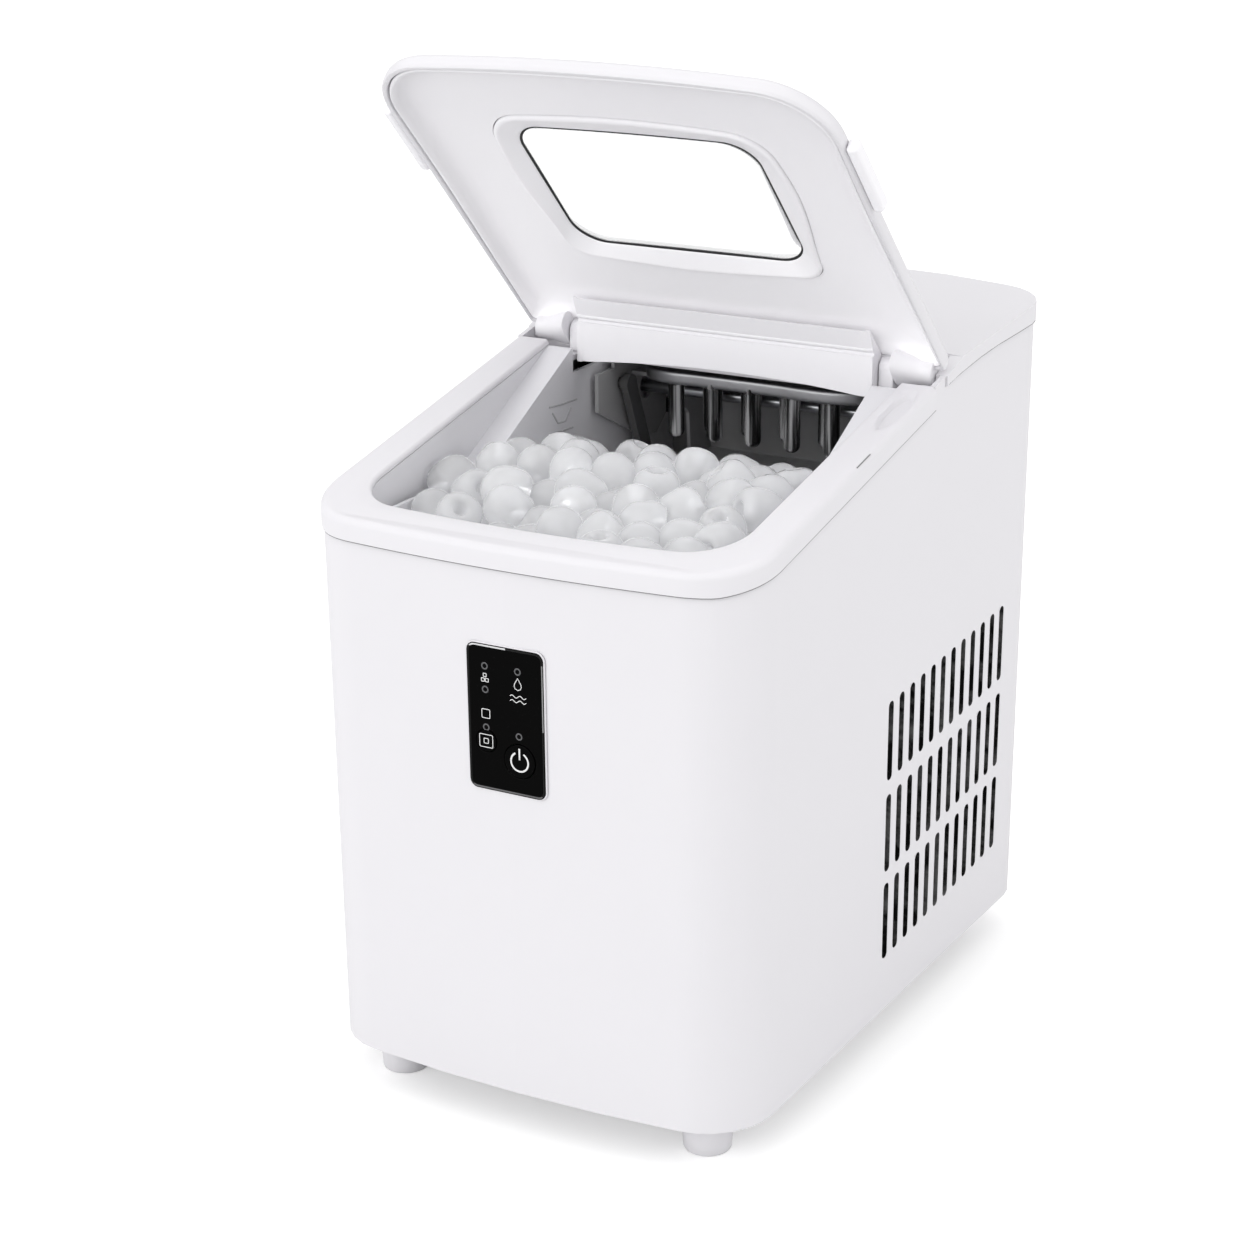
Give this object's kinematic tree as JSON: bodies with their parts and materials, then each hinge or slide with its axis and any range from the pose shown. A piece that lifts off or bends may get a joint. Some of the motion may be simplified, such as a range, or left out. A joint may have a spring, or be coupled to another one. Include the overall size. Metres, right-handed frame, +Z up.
{
  "type": "ice maker",
  "caption": "Countertop ice maker with a hinged window lid standing open, a sloping ice chamber with basket, finger evaporator and tipping tray, front control panel and vented casing.",
  "frame": {"origin": "middle of the bounding box's underside, on the surface the feet stand on, with the lid at rest in its open position", "axes": "+Z up, +Y towards the rear, so -Y is the front with the control panel, +X to the right in the front view"},
  "size_m": [0.23, 0.328, 0.4665],
  "materials": {
    "white_casing": "satin, fine grain",
    "white_liner": "satin",
    "clear_window": "clear, polished",
    "panel_gloss": "polished black",
    "black_plastic": "satin",
    "board_green": "satin",
    "plated": "bright",
    "steel": "bright",
    "alloy": "mill finish",
    "copper": "drawn tube",
    "black_enamel": "semi-gloss",
    "black_rubber": "dull",
    "grey_foot": "dull",
    "foam": "open, dull"
  },
  "bodies": {
    "casing": {"outer_shell": "white_casing", "top_rim": "white_casing", "rear_top_cover": "white_casing", "rear_panel": "white_casing", "base_tray": "white_casing", "foot_front_left": "grey_foot", "foot_front_right": "grey_foot", "foot_rear_left": "grey_foot", "foot_rear_right": "grey_foot", "control_lens": "panel_gloss", "panel_housing": "black_plastic", "control_board": "board_green", "hinge_bracket_left": "white_casing", "hinge_bracket_right": "white_casing", "hinge_pin_left": "steel", "hinge_pin_right": "steel", "liner_tub": "white_liner", "tub_insulation": "foam", "evaporator": "plated", "evaporator_bracket_left": "black_plastic", "evaporator_bracket_right": "black_plastic", "ribbed_back_plate": "black_plastic", "tray_motor": "black_plastic", "tray_bush": "steel", "ice_chute": "white_liner", "ice_sensor_left": "black_plastic", "ice_sensor_right": "black_plastic", "water_pump": "black_plastic", "pump_hose": "black_rubber", "drain_fitting": "black_plastic", "compressor": "black_enamel", "compressor_grommet_1": "black_rubber", "compressor_grommet_2": "black_rubber", "compressor_grommet_3": "black_rubber", "condenser": "alloy", "fan_shroud": "black_plastic", "fan_motor": "black_plastic", "suction_pipe": "copper", "hot_gas_valve": "copper", "discharge_pipe": "copper", "filter_drier": "copper", "power_inlet": "black_plastic"},
    "lid": {"lid_cover": "white_casing", "lid_liner": "white_casing", "window_frame": "white_casing", "lid_window": "clear_window", "hinge_bar": "white_casing", "lid_grip_left": "white_casing", "lid_grip_right": "white_casing", "hinge_knuckle_left": "white_casing", "hinge_knuckle_right": "white_casing"},
    "basket": {"ice_basket": "white_liner"},
    "tray": {"water_tray": "black_plastic", "tray_shaft": "steel"},
    "shovel": {"ice_shovel": "white_liner"},
    "fan": {"fan_blade": "black_plastic"},
    "power_button": {"power_key": "panel_gloss"},
    "size_button": {"size_key": "panel_gloss"},
    "plug": {"drain_plug": "white_casing"}
  },
  "joints": [
    {"name": "lid_hinge", "type": "hinge", "parent": "casing", "child": "lid", "pos_m": [0, 0.041, 0.31784], "axis": [1, 0, 0], "range_deg": [-20, 57.4]},
    {"name": "basket_lift", "type": "slide", "parent": "casing", "child": "basket", "axis": [0, 0, 1], "range_m": [0, 0.008]},
    {"name": "tray_tilt", "type": "hinge", "parent": "casing", "child": "tray", "pos_m": [0, 0.092, 0.2805], "axis": [1, 0, 0], "range_deg": [-95, 0]},
    {"name": "shovel_swing", "type": "hinge", "parent": "casing", "child": "shovel", "pos_m": [0, 0.066, 0.2875], "axis": [1, 0, 0], "range_deg": [-57, 0]},
    {"name": "fan_spin", "type": "hinge", "parent": "casing", "child": "fan", "pos_m": [0.0695, 0.057, 0.109], "axis": [1, 0, 0], "continuous": true},
    {"name": "power_key_press", "type": "slide", "parent": "casing", "child": "power_button", "axis": [0, 1, 0], "range_m": [0, 0.0005], "stiffness_N_per_m": 600},
    {"name": "size_key_press", "type": "slide", "parent": "casing", "child": "size_button", "axis": [0, 1, 0], "range_m": [0, 0.0005], "stiffness_N_per_m": 600},
    {"name": "drain_plug_pull", "type": "slide", "parent": "casing", "child": "plug", "axis": [-1, 0, 0], "range_m": [0, 0.014]}
  ],
  "couplings": [
    {"joint": "shovel_swing", "follows": "tray_tilt", "ratio": 0.6}
  ]
}
